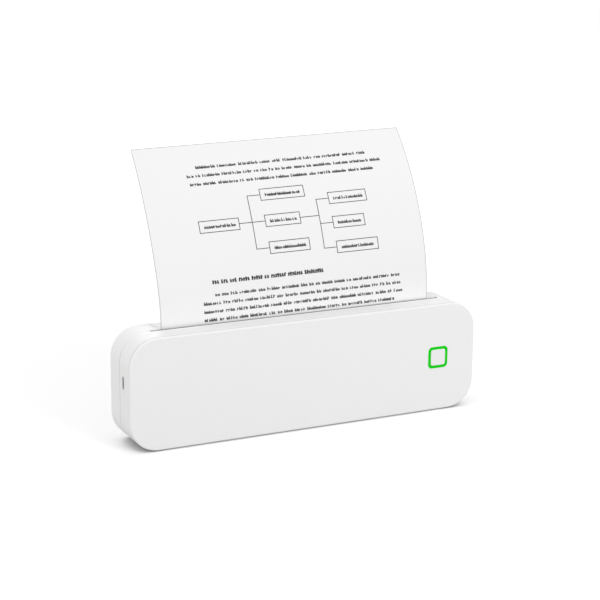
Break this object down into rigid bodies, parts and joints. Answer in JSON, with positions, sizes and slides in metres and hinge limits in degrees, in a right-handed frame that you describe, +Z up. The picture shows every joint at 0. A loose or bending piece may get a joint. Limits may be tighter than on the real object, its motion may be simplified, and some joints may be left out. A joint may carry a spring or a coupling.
{
  "type": "portable thermal printer",
  "caption": "Long slim rounded printer that feeds a page-wide thermal sheet out of a slot in its top, with a hinged paper cover and a lit power button.",
  "frame": {"origin": "centre of the base pad's underside, on the surface that the printer stands on", "axes": "+X along the printer to its right end, +Y to its back, +Z up"},
  "size_m": [0.2708, 0.0746, 0.2009],
  "materials": {
    "white_front": "satin moulded, very fine texture",
    "white_casing": "satin moulded, very fine texture",
    "white_button": "satin moulded",
    "green_ring": "translucent, lit from behind",
    "black_rubber": "matt",
    "clear_silicone": "translucent matt",
    "steel": "bright zinc",
    "spring_steel": "blued",
    "zinc_plate": "zinc plated sheet",
    "aluminium": "extruded, clear anodised",
    "ceramic": "glazed alumina",
    "green_board": "solder mask over glass fibre",
    "black_plastic": "moulded",
    "cream_plastic": "nylon",
    "usb_metal": "nickel plated",
    "battery_wrap": "heat-shrink film",
    "red_wire": "insulated wire",
    "black_wire": "insulated wire",
    "cable_white": "flat film cable",
    "brass": "turned",
    "dark_tray": "moulded",
    "white_nylon": "acetal",
    "paper": "thermal paper, smooth",
    "cardboard": "wound tube"
  },
  "bodies": {
    "root": {"front_panel": "white_front", "front_casing": "white_casing", "rear_casing": "white_casing", "base_pad": "black_rubber", "casing_screws": "steel", "hinge_pins": "steel", "light_ring": "green_ring", "button_board": "green_board", "button_switch": "black_plastic", "ring_leds": "cream_plastic", "main_board": "green_board", "board_chips": "black_plastic", "board_connectors": "cream_plastic", "board_screws": "steel", "usb_socket": "usb_metal", "battery_cells": "battery_wrap", "battery_cradle": "black_plastic", "battery_lead": "red_wire", "motor_lead": "black_wire", "head_cable": "cable_white", "side_plate_left": "zinc_plate", "side_plate_right": "zinc_plate", "crossbar": "zinc_plate", "chassis_screws": "steel", "head_springs": "spring_steel", "platen_bushes": "brass", "gear_studs": "steel", "motor_can": "zinc_plate", "motor_screws": "steel", "paper_tray": "dark_tray", "paper_guide": "dark_tray", "paper_sensor": "black_plastic", "paper_sheet": "paper", "tear_bar": "steel", "cover_switch": "black_plastic", "button_pad": "clear_silicone"},
    "paper_cover": {"paper_cover": "white_casing"},
    "print_head": {"head_heatsink": "aluminium", "head_substrate": "ceramic", "head_board": "green_board", "head_pivot_pins": "steel", "head_connector": "cream_plastic"},
    "platen": {"platen_shaft": "steel", "platen_sleeve": "black_rubber", "platen_gear": "white_nylon"},
    "idler_upper": {"upper_gear": "white_nylon"},
    "idler_lower": {"lower_gear": "white_nylon"},
    "motor_rotor": {"motor_shaft": "steel", "motor_pinion": "brass"},
    "paper_roll": {"paper_roll": "paper", "roll_core": "cardboard"},
    "power_button": {"button_cap": "white_button"}
  },
  "joints": [
    {"name": "cover_hinge", "type": "hinge", "parent": "root", "child": "paper_cover", "pos_m": [0, 0.0176, 0.0172], "axis": [-1, 0, 0], "range_deg": [0, 85]},
    {"name": "head_pivot", "type": "hinge", "parent": "root", "child": "print_head", "pos_m": [0, -0.00425, 0.0728], "axis": [-1, 0, 0], "range_deg": [0, 4], "stiffness_Nm_per_rad": 4, "springref_deg": -2.86, "deforming": ["head_springs"]},
    {"name": "platen_spin", "type": "hinge", "parent": "root", "child": "platen", "pos_m": [0, 0.0056, 0.0628], "axis": [1, 0, 0], "continuous": true},
    {"name": "idler_upper_spin", "type": "hinge", "parent": "root", "child": "idler_upper", "pos_m": [0, 0.0026, 0.04151], "axis": [1, 0, 0], "continuous": true},
    {"name": "idler_lower_spin", "type": "hinge", "parent": "root", "child": "idler_lower", "pos_m": [0, 0.005, 0.02519], "axis": [1, 0, 0], "continuous": true},
    {"name": "motor_spin", "type": "hinge", "parent": "root", "child": "motor_rotor", "pos_m": [0, 0.002, 0.01151], "axis": [1, 0, 0], "continuous": true},
    {"name": "roll_spin", "type": "hinge", "parent": "root", "child": "paper_roll", "pos_m": [0, 0.0038, 0.0366], "axis": [1, 0, 0], "continuous": true},
    {"name": "power_press", "type": "slide", "parent": "root", "child": "power_button", "axis": [0, 1, 0], "range_m": [0, 0.0004], "stiffness_N_per_m": 1500, "springref_m": -0.0005, "deforming": ["button_pad"]}
  ],
  "couplings": [
    {"joint": "idler_upper_spin", "follows": "platen_spin", "ratio": -0.72},
    {"joint": "idler_lower_spin", "follows": "platen_spin", "ratio": 2.25},
    {"joint": "motor_spin", "follows": "platen_spin", "ratio": -8.25},
    {"joint": "roll_spin", "follows": "platen_spin", "ratio": 0.496}
  ]
}
